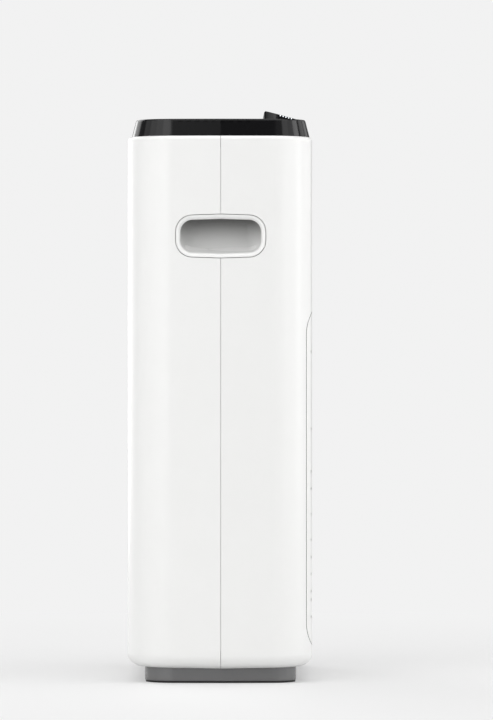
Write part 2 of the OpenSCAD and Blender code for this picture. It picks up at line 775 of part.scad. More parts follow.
module impeller() color("lightgray") {
    at_fan() {
        difference() {
            union() {
                translate([0, 0, blade_y1]) cylinder(r = fan_r, h = 2.5);
                translate([0, 0, blade_y1 - 16]) cylinder(r = 13, h = 17);
            }
            translate([0, 0, -50]) cylinder(r = shaft_r, h = 150);
        }
        translate([0, 0, blade_y0 - 2.5]) difference() {
            cylinder(r = fan_r, h = 2.6);
            translate([0, 0, -1]) cylinder(r = fan_r - 15, h = 5);
        }
        for (i = [0 : fan_blades - 1]) rotate(i * 360 / fan_blades)
            translate([0, 0, blade_y0]) linear_extrude(blade_y1 - blade_y0 + tiny) blade();
    }
}

// One forward-curved blade between the eye and the rim.
module blade() {
    t = 1.4;
    n = 5;
    function at(i, s) = let (r = fan_r - 17 + 16 * i / n, a = 8 * pow(i / n, 2))
        [r * cos(a) - s * sin(a), r * sin(a) + s * cos(a)];
    polygon(concat([for (i = [0 : n]) at(i, -t / 2)], [for (i = [n : -1 : 0]) at(i, t / 2)]));
}

module motor_shaft() color("silver") at_fan() translate([0, 0, 10]) cylinder(r = shaft_r, h = 63.5);

module motor_rotor() color("dimgray") at_fan() translate([0, 0, core_z0]) difference() {
    cylinder(r = 18.5, h = core_h);
    translate([0, 0, -1]) cylinder(r = shaft_r, h = 20);
}

module motor_stator() color("peru") at_fan() translate([0, 0, core_z0]) difference() {
    cylinder(r = 39, h = core_h);
    translate([0, 0, -1]) cylinder(r = 19.5, h = 20);
}

module motor_case() color("silver") at_fan() difference() {
    union() {
        translate([0, 0, 41]) cylinder(r = 42, h = 35);
        translate([0, 0, scroll_y1 + 3]) cylinder(r = 57, h = 2);
    }
    difference() {
        translate([0, 0, 43]) cylinder(r = 39, h = 31);
        // seats of the two bearings
        for (z = [42, 67]) translate([0, 0, z]) difference() {
            cylinder(r = 14, h = 8);
            translate([0, 0, -1]) cylinder(r = 11, h = 10);
        }
    }
    translate([0, 0, 30]) cylinder(r = 9, h = 14);
    for (a = motor_turns) rotate(a) translate([motor_hole_r, 0, 30]) cylinder(r = 2.2, h = 60);
}

module motor_bearings() color("silver") at_fan() for (z = [44, 67])
    translate([0, 0, z]) difference() {
        cylinder(r = 11, h = 6);
        translate([0, 0, -1]) cylinder(r = shaft_r + 0.03, h = 8);
    }

module motor_mounts() color("black") at_fan() for (a = motor_turns) rotate(a)
    translate([motor_hole_r, 0, scroll_y1]) difference() {
        cylinder(r = 5.5, h = 3);
        translate([0, 0, -1]) cylinder(r = 2, h = 5);
    }

module motor_screws() color("silver") at_fan() for (a = motor_turns) rotate(a)
    translate([motor_hole_r, 0, scroll_y1 + 5]) pan_screw(3.6, 2.2, 2, 9);

module shaft_nut() color("silver") at_fan() translate([0, 0, blade_y1 - 22]) difference() {
    cylinder(r = 7.5, h = 6, $fn = 6);
    translate([0, 0, -1]) cylinder(r = shaft_r, h = 8);
}

// ---------- power and sensing ----------

module power_inlet() color("black") translate([inlet_x, 0, inlet_z]) difference() {
    union() {
        upright(rear_y - 1.5, rear_y) rounded(32.4, 25.4, 2.3);
        upright(rear_y - 22, rear_y - 1) square([27.8, 20.8], center = true);
    }
    upright(rear_y - 18, rear_y + 1)
        polygon([[-12, -8.2], [12, -8.2], [12, 4.6], [8, 8.2], [-8, 8.2], [-12, 4.6]]);
}

module inlet_pins() color("silver") translate([inlet_x, 0, inlet_z])
    for (p = [[-7, -1], [7, -1], [0, 3]])
        upright(rear_y - 18, rear_y - 4) translate([p[0] - 1, p[1] - 2]) square([2, 4]);

module power_box() color("dimgray") difference() {
    translate([-45, scroll_y1, 85]) cube([120, 42, 80]);
    translate([-43, scroll_y1 + 2, 87]) cube([116, 42, 76]);
}

module power_board() color("darkgreen") translate([-42, board_y - 1.6, 88]) cube([114, 1.6, 74]);

module power_parts() translate([0, board_y, 0]) {
    color("darkorange") translate([-30, 0, 96]) cube([26, 20, 30]);
    color("black") for (x = [12, 30, 48]) rod(7, 0, 22, x, 104);
    color("silver") translate([8, 0, 130]) cube([50, 16, 3]);
    color("white") translate([-36, 0, 144]) cube([24, 10, 8]);
}

// Routes of the wiring: power box to control pod, inlet to box, motor to box.
loom_gap = [176, 656];                 // where the first route passes through the chassis
loom_routes = [
    [[60, 84, 165.1], [60, 84, 172], [62, 86, 190], [76, 90, 215], [112, 92, 240], [130, 94, 280],
     [131, 95, 400], [131, 96, 520], [132, 97, 610], [146, 96, 634], [166, 86, 648], [176, 60, 655],
     [176, -70, 656], [168, -80, 661], [150, -83, 668], [120, -84, 676], [104, -83, 682], [100, -82, 684]],
    [[-92, 91.3, 66], [-92, 86, 66], [-88, 78, 70], [-74, 74, 84], [-62, 73, 102], [-52, 73, 110],
     [-45.2, 73, 110]],
    [[20, 76.2, 230], [20, 80, 230], [20, 86, 224], [20, 88, 205], [22, 86, 185], [24, 84, 172],
     [24, 84, 165.1]]
];
loom_r = 2.5;
loom_sides = 8;

// A closed tube through the points, with a ring square to the route at each.
module swept_tube(points, r, sides) {
    n = len(points);
    function dir(i) = let (v = points[min(i + 1, n - 1)] - points[max(i - 1, 0)]) v / norm(v);
    function ring(i) =
        let (d = dir(i), s = cross(d, [0.31, 0.9, 0.1]), u = s / norm(s), w = cross(d, u))
        [for (k = [0 : sides - 1]) let (a = k * 360 / sides) points[i] + r * (cos(a) * u + sin(a) * w)];
    verts = [for (i = [0 : n - 1]) each ring(i)];
    walls = [for (i = [0 : n - 2], k = [0 : sides - 1])
        let (a = i * sides + k, b = i * sides + (k + 1) % sides)
        each [[a, a + sides, b + sides], [a, b + sides, b]]];
    caps = [[for (k = [0 : sides - 1]) k], [for (k = [sides - 1 : -1 : 0]) (n - 1) * sides + k]];
    polyhedron(verts, concat(walls, caps));
}

module wiring_loom() color("dimgray")
    for (route = loom_routes) swept_tube(route, loom_r, loom_sides);

module dust_sensor() color("dimgray") difference() {
    translate([door_x - 23, rear_y - 26, door_z - 13]) cube([46, 18, 28]);
    for (x = [-12, 12]) rod(4, rear_y - 14, rear_y - 7, door_x + x, door_z + 2);
}

module sensor_door() color("white") {
    gap = 0.4;
    difference() {
        union() {
            translate([door_x - door_w / 2 + gap, rear_y - 2.2, door_z - door_h / 2 + gap])
                cube([door_w - 2 * gap, 2.2, door_h - 2 * gap - pin_depth]);
            door_pin_axis() cylinder(r = pin_depth, h = door_w - 2 * gap, center = true);
        }
        door_pin_axis() cylinder(r = pin_r + 0.06, h = 200, center = true);
        for (i = [0 : 5])
            translate([door_x - 18, rear_y - 5, door_z - 8 + 4 * i]) cube([36, 8, 1.8]);
    }
}

module sensor_pin() color("silver")
    door_pin_axis() cylinder(r = pin_r, h = door_w + 6.8, center = true);

// ---------- nodes ----------

front_shell();
rear_shell();
front_cover();
cover_magnets();
catch_plates();
reed_switch();
left_grip();
right_grip();
lid();
outlet_screen();
outlet_duct();
control_pod();
display_lens();
display_module();
control_board();
key_switches();
side_lights();
plinth();
foot_ring();
plinth_screws();
shell_screws();
chassis();
prefilter_frame();
prefilter_mesh();
filter_frame();
filter_pleats();
carbon_sheet();
filter_gasket();
filter_tabs();
scroll_front();
scroll_case();
scroll_screws();
impeller();
motor_shaft();
motor_rotor();
motor_stator();
motor_case();
motor_bearings();
motor_mounts();
motor_screws();
shaft_nut();
power_inlet();
inlet_pins();
power_box();
power_board();
power_parts();
wiring_loom();
dust_sensor();
sensor_door();
sensor_pin();
key(key_xs[0]);  // key_lock
key(key_xs[1]);  // key_timer
key(key_xs[2]);  // key_light
key(key_xs[3]);  // key_mode
key(key_xs[4]);  // key_speed
key(key_xs[5]);  // key_power
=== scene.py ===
"""Looks of a slim floor-standing air purifier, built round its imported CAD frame. Metres."""

import json
import math

import bmesh
import bpy
import numpy as np
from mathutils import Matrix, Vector
from mathutils.geometry import delaunay_2d_cdt


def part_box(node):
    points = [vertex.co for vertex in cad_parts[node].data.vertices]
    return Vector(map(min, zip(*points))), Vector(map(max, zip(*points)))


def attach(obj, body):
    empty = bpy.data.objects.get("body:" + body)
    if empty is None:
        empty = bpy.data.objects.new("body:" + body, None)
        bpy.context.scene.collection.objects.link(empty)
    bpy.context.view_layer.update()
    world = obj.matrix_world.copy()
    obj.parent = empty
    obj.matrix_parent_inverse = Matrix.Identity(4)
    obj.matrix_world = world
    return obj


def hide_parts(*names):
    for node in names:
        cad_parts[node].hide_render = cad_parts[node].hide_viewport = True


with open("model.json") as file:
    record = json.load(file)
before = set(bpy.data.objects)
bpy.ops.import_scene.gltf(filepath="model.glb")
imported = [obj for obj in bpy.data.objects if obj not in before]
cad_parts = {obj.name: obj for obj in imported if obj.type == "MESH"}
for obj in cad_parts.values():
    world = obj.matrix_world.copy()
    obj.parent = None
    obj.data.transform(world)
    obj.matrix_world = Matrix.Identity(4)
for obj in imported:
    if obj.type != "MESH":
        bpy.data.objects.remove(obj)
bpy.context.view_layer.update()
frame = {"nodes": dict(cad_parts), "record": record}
nodes = frame["nodes"]
MM = 0.001

# ---------------------------------------------------------------- sizes, from the frame

front_low, front_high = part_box("front_shell")
rear_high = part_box("rear_shell")[1]
SEAM_GAP = 0.5 * MM
HALF_W = front_high[0]
SEAM_Y = front_high[1] + SEAM_GAP / 2
BODY_Z0, BODY_Z1 = front_low[2], front_high[2]
FRONT_Y, REAR_Y = front_low[1], rear_high[1]
SLOPE = math.radians(2.1909)
FRONT_R, REAR_R = 51.5 * MM, 58.5 * MM
LOW_R, TOP_R = 16 * MM, 5 * MM
WALL = 2.6 * MM
FLANGE = 24 * MM
cover_low, cover_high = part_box("front_cover")
COVER_HALF = 172.3 * MM
COVER_R = 28 * MM
COVER_T = 2.1 * MM
COVER_GAP = 0.6 * MM
COVER_SHY = 0.3 * MM                    # how far the cover and its opening each draw back
EDGE_X = COVER_HALF - 8 * MM            # beyond these, the cover has no holes; side faces out there get the painted shade of the gap
EDGE_Z = (cover_low[2] + 20 * MM, cover_high[2] - 20 * MM)
LEDGE_U0, LEDGE_U1 = 2.5 * MM, 5 * MM   # the ledge behind the cover, as depths below the skin
LEDGE_IN = 14 * MM
LINE_Z0, LINE_Z1 = 20 * MM, 500 * MM
GROOVE_U0, GROOVE_U1 = 4.4 * MM, 6.4 * MM
GROOVE_OUT, GROOVE_IN, GROOVE_LAP = 8 * MM, 1.2 * MM, 0.6 * MM
MAGNET_X, MAGNET_IN, MAGNET_HOLE = 100 * MM, 7 * MM, 4.8 * MM
DROOP, DROOP_UP, DROOP_SPAN = 1.3 * MM, 25 * MM, 90 * MM   # the lower edge dips towards the crease
SIDE_X = HALF_W - 40 * MM
HEAD_R, HEAD_SEAT, SCREW_BORE = 4.7 * MM, 5 * MM, 2.2 * MM
BOSS_R, BOSS_LENGTH = 6.5 * MM, 7.6 * MM
INLET_X, INLET_Z = -100 * MM, 62 * MM
DOOR_X, DOOR_Z, DOOR_W, DOOR_H = 100 * MM, 520 * MM, 54 * MM, 40 * MM
PIN_Z = 536.6 * MM
TONGUE_U1, TONGUE_HALF = 4.8 * MM, 4 * MM
TONGUE_Z0, TONGUE_Z1, TONGUE_CLEAR = 40 * MM, 655 * MM, 27.3 * MM
GRIP_Z = 546.8 * MM
GRIP_W, GRIP_H, GRIP_R, GRIP_PEAK = 110.5 * MM, 51.7 * MM, 20.7 * MM, 1.1 * MM
GRIP_GAP = 0.3 * MM
LIP = 5.6 * MM
GRIP_DEPTH = 32 * MM
CUP_W, CUP_H, CUP_R, CUP_UP = 84 * MM, 30 * MM, 11 * MM, 11 * MM
CUP_END_R = 1 * MM


# ---------------------------------------------------------------- materials

def material(name, colour, roughness, **extra):
    """A principled material with its constants on the shader's own sockets."""
    m = bpy.data.materials.new(name)
    m.use_nodes = True
    shader = m.node_tree.nodes["Principled BSDF"]
    shader.inputs["Base Color"].default_value = (*colour, 1)
    shader.inputs["Roughness"].default_value = roughness
    for key, value in extra.items():
        shader.inputs[key.replace("_", " ")].default_value = value
    return m


def add(m, kind, **values):
    node = m.node_tree.nodes.new(kind)
    for key, value in values.items():
        if key in node.inputs:
            node.inputs[key].default_value = value
        else:
            setattr(node, key, value)
    return node


def link(m, a, out, b, into):
    m.node_tree.links.new(a.outputs[out], b.inputs[into])


def object_coords(m):
    return add(m, "ShaderNodeTexCoord")


def noise(m, scale, detail=2.0, rough=0.5, stretch=None):
    """Noise in the object's own space, in cycles per metre."""
    coords = object_coords(m)
    tex = add(m, "ShaderNodeTexNoise", Scale=scale, Detail=detail, Roughness=rough)
    if stretch:
        mapping = add(m, "ShaderNodeMapping", Scale=stretch)
        link(m, coords, "Object", mapping, "Vector")
        link(m, mapping, "Vector", tex, "Vector")
    else:
        link(m, coords, "Object", tex, "Vector")
    return tex


def ramp(m, source, out, into, low, high, start=0.35, end=0.65):
    """Feeds source, remapped from start..end to low..high, into a socket of the shader."""
    shader = m.node_tree.nodes["Principled BSDF"]
    remap = add(m, "ShaderNodeMapRange")
    for key, value in zip(("From Min", "From Max", "To Min", "To Max"), (start, end, low, high)):
        remap.inputs[key].default_value = value
    link(m, source, out, remap, "Value")
    link(m, remap, "Result", shader, into)


def tint(m, source, dark, light, start=0.3, end=0.7):
    """Colours the surface between two shades by a texture."""
    shader = m.node_tree.nodes["Principled BSDF"]
    colours = add(m, "ShaderNodeValToRGB")
    colours.color_ramp.elements[0].position = start
    colours.color_ramp.elements[0].color = (*dark, 1)
    colours.color_ramp.elements[1].position = end
    colours.color_ramp.elements[1].color = (*light, 1)
    link(m, source, 0, colours, "Fac")
    link(m, colours, "Color", shader, "Base Color")


def bump(m, source, out, height, strength=1.0):
    """Surface relief of that height in metres."""
    shader = m.node_tree.nodes["Principled BSDF"]
    relief = add(m, "ShaderNodeBump", Strength=strength, Distance=height)
    link(m, source, out, relief, "Height")
    link(m, relief, "Normal", shader, "Normal")


def moulded(name, colour, roughness, grain=0.00002, vary=0.05, scale=1400, **extra):
    """Moulded plastic: a fine spark-eroded grain, slow waves in gloss and a little in shade."""
    m = material(name, colour, roughness, **extra)
    fine = noise(m, scale, 3)
    bump(m, fine, "Fac", grain, 0.6)
    slow = noise(m, 60, 4)
    ramp(m, slow, "Fac", "Roughness", max(roughness - vary, 0.02), roughness + vary, 0.0, 1.0)
    shade = noise(m, 25, 3)
    tint(m, shade, tuple(c * 0.99 for c in colour), tuple(min(c * 1.01, 1) for c in colour), 0.0, 1.0)
    return m


def metal(name, colour, roughness, stretch=(1, 1, 30)):
    m = material(name, colour, roughness, Metallic=1.0)
    lines = noise(m, 260, 4, 0.6, stretch)
    ramp(m, lines, "Fac", "Roughness", roughness - 0.08, roughness + 0.12)
    bump(m, lines, "Fac", 0.00001, 0.5)
    blotch = noise(m, 60, 3)
    tint(m, blotch, tuple(c * 0.88 for c in colour), colour)
    return m


def woven(name, dark, light, pitch):
    """Cloth or net: two crossed sets of threads."""
    m = material(name, light, 0.85, Sheen_Weight=0.2)
    coords = object_coords(m)
    sets = []
    for axis in ("X", "Z"):
        wave = add(m, "ShaderNodeTexWave", Scale=1 / pitch / 2, Distortion=0.4, wave_type="BANDS",
                   bands_direction=axis)
        wave.inputs["Detail Scale"].default_value = 300
        link(m, coords, "Object", wave, "Vector")
        sets.append(wave)
    both = add(m, "ShaderNodeMath", operation="MULTIPLY")
    m.node_tree.links.new(sets[0].outputs["Fac"], both.inputs[0])
    m.node_tree.links.new(sets[1].outputs["Fac"], both.inputs[1])
    tint(m, both, dark, light, 0.1, 0.7)
    bump(m, both, "Value", 0.0002, 0.8)
    return m


def felt(name, dark, light):
    m = material(name, light, 0.95, Sheen_Weight=0.3)
    fibres = noise(m, 900, 6, 0.7)
    tint(m, fibres, dark, light)
    bump(m, fibres, "Fac", 0.0004, 0.8)
    return m


WHITE = (0.90, 0.90, 0.89)
looks = {
    "white_gloss": moulded("white_moulding", WHITE, 0.32, 0.000008, 0.05, Coat_Weight=0.15,
                           Coat_Roughness=0.12),
    "black_gloss": moulded("black_moulding", (0.0025, 0.0025, 0.003), 0.12, 0.000002, 0.03, 500,
                           Specular_IOR_Level=0.35),
    "smoked_lens": moulded("smoked_window", (0.002, 0.002, 0.003), 0.04, 0.000001, 0.01, 300),
    # painted shade for the cover's side walls, which stand in a narrow, shaded gap
    "edge_painted_shade": moulded("gap_shade", (0.3, 0.3, 0.3), 0.6, 0.00001, 0.02, Specular_IOR_Level=0.2),
    # painted shade: the grip's cup is the same white plastic as its lip, coloured darker to stand for the
    # shade deep in the recess
    "cup_painted_shade": moulded("grip_cup_painted_shade", (0.5, 0.5, 0.49), 0.65, 0.00003, 0.05, Specular_IOR_Level=0.15),
    "lamp_white": moulded("light_guide", (0.8, 0.82, 0.84), 0.4, 0.00001, 0.05, Subsurface_Weight=0.1,
                          Emission_Color=(0.9, 0.95, 1, 1), Emission_Strength=1.2),
    "grey_plinth": moulded("plinth_moulding", (0.13, 0.13, 0.132), 0.2, 0.00001, 0.02,
                           Specular_IOR_Level=1.0),
    "black_rubber": moulded("rubber", (0.012, 0.012, 0.012), 0.75, 0.00006, 0.08, 900),
    "dark_plastic": moulded("dark_moulding", (0.035, 0.035, 0.038), 0.5, 0.00004, 0.08),
    "light_plastic": moulded("natural_moulding", (0.72, 0.72, 0.70), 0.5, 0.00004, 0.08),
    "mesh_nylon": woven("prefilter_net", (0.02, 0.02, 0.022), (0.12, 0.12, 0.13), 0.0012),
    "filter_board": felt("filter_board", (0.78, 0.77, 0.74), (0.86, 0.85, 0.82)),
    "filter_paper": felt("filter_fleece", (0.84, 0.83, 0.78), (0.93, 0.92, 0.88)),
    "carbon_felt": felt("carbon_felt", (0.008, 0.008, 0.008), (0.05, 0.05, 0.05)),
    "grey_foam": felt("foam_seal", (0.1, 0.1, 0.1), (0.22, 0.22, 0.22)),
    "blue_ribbon": woven("pull_ribbon", (0.04, 0.12, 0.3), (0.12, 0.3, 0.58), 0.0008),
    "zinc_steel": metal("zinc_steel", (0.66, 0.67, 0.69), 0.3),
    "ground_steel": metal("ground_steel", (0.6, 0.6, 0.62), 0.25),
    "brass_pins": metal("plated_brass", (0.7, 0.62, 0.42), 0.22),
    "magnet_grey": metal("sintered_magnet", (0.14, 0.14, 0.15), 0.5, (1, 1, 1)),
    "copper_winding": metal("enamelled_copper", (0.6, 0.26, 0.12), 0.3, (30, 30, 1)),
    "board_green": moulded("solder_mask", (0.015, 0.12, 0.05), 0.3, 0.00002, 0.06),
    "parts_mixed": moulded("component_bodies", (0.12, 0.12, 0.13), 0.45, 0.00004, 0.08),
    "wire_grey": moulded("wire_sleeve", (0.06, 0.06, 0.06), 0.55, 0.0001, 0.06, 600),
}


def paint_shade_by_height(m, z0, z1, dark, light):
    """Paints shade into a surface's colour, dark at z1 and light at z0: painted shade, as where light falls
    off deep inside a recess.
    """
    coords = object_coords(m)
    split = add(m, "ShaderNodeSeparateXYZ")
    link(m, coords, "Object", split, "Vector")
    height = add(m, "ShaderNodeMapRange")
    for key, value in zip(("From Min", "From Max", "To Min", "To Max"), (z0, z1, 1.0, 0.0)):
        height.inputs[key].default_value = value
    link(m, split, "Z", height, "Value")
    tint(m, height, dark, light, 0.0, 1.0)


# Painted shade in the grip's cup: darker towards the top, where the upper lip would keep the light out of
# the recess.
paint_shade_by_height(looks["cup_painted_shade"], GRIP_Z - 13 * MM, GRIP_Z + 20 * MM, (0.15, 0.15, 0.148),
                (0.78, 0.78, 0.77))

for part in frame["record"]["subparts"]:
    mesh = nodes[part["node"]].data
    mesh.materials.clear()
    mesh.materials.append(looks[part["material_slot"]])


# ---------------------------------------------------------------- the plan outline

class Half:
    """One half of the body's plan, front (sign 1) or rear (sign -1), as a strip along s.

    s is 0 in the middle of the front or rear face and grows towards +X; the strip runs along
    the flat, round the corner and back along the side to the crease."""

    def __init__(self, sign, depth, radius, half_w, gap=0.0):
        self.sign, self.depth, self.r, self.gap = sign, depth, radius, gap
        self.cx = half_w - (radius + (depth - radius) * math.sin(SLOPE)) / math.cos(SLOPE)
        self.turn = math.pi / 2 - SLOPE
        self.arc = radius * self.turn
        y = depth - radius + radius * math.sin(SLOPE)
        self.side = (y - gap / 2) / math.cos(SLOPE)
        self.length = self.cx + self.arc + self.side

    def at(self, s, u):
        """Place (x, y) and outward normal of the point at s, u below the skin."""
        a, m = abs(s), math.copysign(1, s)
        r = self.r - u
        if a <= self.cx:
            x, y, nx, ny = a, -self.depth + u, 0.0, -1.0
        else:
            turn = min((a - self.cx) / self.r, self.turn)
            x = self.cx + r * math.sin(turn)
            y = self.r - self.depth - r * math.cos(turn)
            nx, ny = math.sin(turn), -math.cos(turn)
            if a > self.cx + self.arc:
                share = (a - self.cx - self.arc) / self.side
                run = share * (-self.gap / 2 - y) / math.cos(SLOPE)
                x += run * math.sin(SLOPE)
                y += run * math.cos(SLOPE)
        return (m * x, SEAM_Y + self.sign * y), (m * nx, self.sign * ny)

    def s_of_x(self, x):
        """Where on the strip a point with that x lies, on the face or round the corner."""
        a = abs(x)
        if a > self.cx:
            a = self.cx + self.r * math.asin((a - self.cx) / self.r)
        return math.copysign(a, x)

    def s_of_y(self, dy, m):
        """Where on the strip a point dy away from the crease lies, on the side flat."""
        return m * (self.length - (dy - self.gap / 2) / math.cos(SLOPE))

    def cuts(self, step=math.radians(3)):
        """Places on the strip that the mesh must follow."""
        n = math.ceil(self.turn / step)
        marks = [self.cx + self.arc * i / n for i in range(n + 1)]
        return [-a for a in marks] + marks


class Section:
    """The shells' section as a strip of length t, from the bottom flange's inner edge, round
    the lower edge, up the wall and over the top to the top flange's inner edge."""

    def __init__(self, z0, z1, low_r, top_r, flange):
        self.z0, self.z1, self.low_r, self.top_r, self.flange = z0, z1, low_r, top_r, flange
        self.stops = np.cumsum([0, flange - low_r, low_r * math.pi / 2, z1 - z0 - low_r - top_r,
                                top_r * math.pi / 2, flange - top_r])

    def at(self, t, u):
        """Depth below the skin, height and normal (outward, up) of the point at t, u inside."""
        a, b, c, d, e = self.stops[1:]
        if t <= a:
            return self.flange - t, self.z0 + u, 0, -1
        if t <= b:
            p = (t - a) / self.low_r
            r = self.low_r - u
            z = self.z0 + self.low_r - r * math.cos(p)
            return self.low_r - r * math.sin(p), z, math.sin(p), -math.cos(p)
        if t <= c:
            return u, self.z0 + self.low_r + t - b, 1, 0
        if t <= d:
            p = (t - c) / self.top_r
            r = self.top_r - u
            z = self.z1 - self.top_r + r * math.sin(p)
            return self.top_r - r * math.cos(p), z, math.cos(p), math.sin(p)
        return self.top_r + t - d, self.z1 - u, 0, 1

    def t_of_z(self, z):
        return self.stops[2] + z - self.z0 - self.low_r

    def cuts(self):
        a, b, c, d, _ = self.stops[1:]
        low = [a + (b - a) * i / 14 for i in range(15)]
        return low + [c + (d - c) * i / 6 for i in range(7)]


class Upright:
    """A plain upright wall: t is the height."""

    def at(self, t, u):
        return u, t, 1, 0

    def t_of_z(self, z):
        return z


# ---------------------------------------------------------------- meshes with even thickness

def inside(points, loops):
    """Which points lie inside the closed loops, counting holes as outside."""
    odd = np.zeros(len(points), bool)
    for loop in loops:
        a = np.asarray(loop)
        b = np.roll(a, -1, axis=0)
        level = (points[:, 1] >= a[:, 1].min()) & (points[:, 1] <= a[:, 1].max())
        near = level & (points[:, 0] <= a[:, 0].max())
        p = points[near]
        if not len(p):
            continue
        rise = (a[None, :, 1] > p[:, None, 1]) != (b[None, :, 1] > p[:, None, 1])
        with np.errstate(divide="ignore", invalid="ignore"):
            x = a[None, :, 0] + (p[:, None, 1] - a[None, :, 1]) * (b - a)[None, :, 0] / (b - a)[None, :, 1]
        odd[near] ^= (np.sum(rise & (x > p[:, None, 0]), axis=1) % 2).astype(bool)
    return odd


def fill(loops, lines):
    """Triangles of the flat region inside the loops, with edges along the lines."""
    verts, edges = [], []
    for loop in loops:
        n = len(verts)
        verts += [Vector(p) for p in loop]
        edges += [(n + i, n + (i + 1) % len(loop)) for i in range(len(loop))]
    for a, b in lines:
        n = len(verts)
        verts += [Vector(a), Vector(b)]
        edges.append((n, n + 1))
    out = delaunay_2d_cdt(verts, edges, [], 0, 1e-7)
    points = np.array([tuple(v) for v in out[0]])
    faces = np.array([f for f in out[2] if len(f) == 3])
    faces = faces[inside(points[faces].mean(axis=1), loops)]
    used = np.unique(faces)
    renumber = np.zeros(len(points), int)
    renumber[used] = np.arange(len(used))
    points, faces = points[used], renumber[faces]
    a, b, c = points[faces[:, 0]], points[faces[:, 1]], points[faces[:, 2]]
    area = (b[:, 0] - a[:, 0]) * (c[:, 1] - a[:, 1]) - (b[:, 1] - a[:, 1]) * (c[:, 0] - a[:, 0])
    faces[area < 0] = faces[area < 0][:, ::-1]
    return points, faces


def surface(half, section, u):
    """Maps a strip point (s, t) to its place and normal at depth u below the skin."""
    def place(p):
        depth, z, out, up = section.at(p[1], u)
        (x, y), (nx, ny) = half.at(p[0], depth)
        low = max(1 - (z - BODY_Z0) / DROOP_UP, 0)
        near = max(1 - abs(y - SEAM_Y) / DROOP_SPAN, 0) if abs(x) > SIDE_X else 0
        return (x, y, z - DROOP * low * near), (nx * out, ny * out, up)
    return place


def thick(points, faces, outer, inner):
    """A closed wall: its outer and inner faces and the rims between them, with true normals."""
    n = len(points)
    out = [outer(p) for p in points]
    back = [inner(p) for p in points]
    verts = [v for v, _ in out] + [v for v, _ in back]
    normals = [k for _, k in out] + [tuple(-c for c in k) for _, k in back]
    a, b, c = (np.array([verts[i] for i in faces[0]]))
    if np.dot(np.cross(b - a, c - a), normals[faces[0][0]]) < 0:
        faces = faces[:, ::-1]
    polys = [tuple(f) for f in faces] + [tuple(i + n for i in f[::-1]) for f in faces]
    loops = [[normals[i] for i in p] for p in polys]
    seen = {}
    for f in faces:
        for i, j in ((f[0], f[1]), (f[1], f[2]), (f[2], f[0])):
            seen[(i, j)] = True
    rim = [(i, j) for i, j in seen if (j, i) not in seen]
    flat = {}
    for i, j in rim:
        p, q, r = (np.array(verts[k]) for k in (j, i, i + n))
        k = np.cross(q - p, r - q)
        flat[(i, j)] = k / (np.linalg.norm(k) or 1)
    touching = {}
    for (i, j), k in flat.items():
        touching.setdefault(i, []).append(k)
        touching.setdefault(j, []).append(k)
    for (i, j), k in flat.items():
        polys.append((j, i, i + n, j + n))
        ends = []
        for v in (j, i, i, j):
            near = [m for m in touching[v] if np.dot(m, k) > 0.8]
            mean = np.sum(near, axis=0)
            ends.append(tuple(mean / np.linalg.norm(mean)))
        loops.append(ends)
    return verts, polys, loops


def joined(*parts):
    """Several (verts, polys, loop normals) as one."""
    verts, polys, loops = [], [], []
    for v, p, k in parts:
        n = len(verts)
        verts += v
        polys += [tuple(i + n for i in f) for f in p]
        loops += k
    return verts, polys, loops


def placed(mesh, look, body):
    """An object of the mesh's name, with its look, riding a body."""
    obj = bpy.data.objects.new(mesh.name, mesh)
    bpy.context.scene.collection.objects.link(obj)
    mesh.materials.append(looks[look])
    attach(obj, body)
    return obj


def make(name, parts, look, body):
    """A mesh object from (verts, polys, loop normals), riding a body."""
    verts, polys, loops = parts
    mesh = bpy.data.meshes.new(name)
    mesh.from_pydata([tuple(v) for v in verts], [], [tuple(int(i) for i in p) for p in polys])
    mesh.update()
    mesh.polygons.foreach_set("use_smooth", [True] * len(mesh.polygons))
    mesh.normals_split_custom_set([tuple(k) for f in loops for k in f])
    return placed(mesh, look, body)


def arc(cx, cy, r, a0, a1, n):
    return [(cx + r * math.cos(math.radians(a0 + (a1 - a0) * i / n)),
             cy + r * math.sin(math.radians(a0 + (a1 - a0) * i / n))) for i in range(n + 1)]


def round_rect(w, h, r, n, cx, cy):
    x, y = w / 2 - r, h / 2 - r
    return (arc(cx + x, cy + y, r, 0, 90, n) + arc(cx - x, cy + y, r, 90, 180, n)
            + arc(cx - x, cy - y, r, 180, 270, n) + arc(cx + x, cy - y, r, 270, 360, n))


def circle(r, n, cx, cy):
    return arc(cx, cy, r, 0, 360 * (n - 1) / n, n - 1)


def rect(w, h, cx, cy):
    return [(cx + a * w / 2, cy + b * h / 2) for a, b in ((1, 1), (-1, 1), (-1, -1), (1, -1))]


# ---------------------------------------------------------------- shells

front = Half(1, SEAM_Y - FRONT_Y, FRONT_R, HALF_W, SEAM_GAP)
rear = Half(-1, REAR_Y - SEAM_Y, REAR_R, HALF_W, SEAM_GAP)
shell = Section(BODY_Z0, BODY_Z1, LOW_R, TOP_R, FLANGE)
plain = Upright()


def grip_outline(inset, n=9):
    """The grip's outline from above its middle round to below it, as (dy, z) from its centre."""
    w, h, r = GRIP_W / 2 - inset, GRIP_H / 2 - inset, GRIP_R - inset
    return ([(0, h + GRIP_PEAK)] + arc(w - r, h - r, r, 90, 0, n) + arc(w - r, r - h, r, 0, -90, n)
            + [(0, -h - GRIP_PEAK)])


def shell_outline(half):
    """The strip's outer edge, with a notch at each end where a grip sits across the crease."""
    t1 = shell.stops[-1]
    edge = [(-half.length, 0), (half.length, 0)]
    notch = []
    for dy, dz in reversed(grip_outline(-GRIP_GAP)):
        dy = max(dy, half.gap / 2)
        notch.append((half.s_of_y(dy, 1), shell.t_of_z(GRIP_Z + dz)))
    edge += notch + [(half.length, t1), (-half.length, t1)]
    edge += [(-s, t) for s, t in reversed(notch)]
    return edge


def shell_lines(half):
    t1, end = shell.stops[-1], half.length
    return ([((s, 0), (s, t1)) for s in half.cuts()] + [((-end, t), (end, t)) for t in shell.cuts()])


def wall(half, loops, lines, section=shell, u0=0.0, u1=WALL):
    points, faces = fill(loops, lines)
    return thick(points, faces, surface(half, section, u0), surface(half, section, u1))


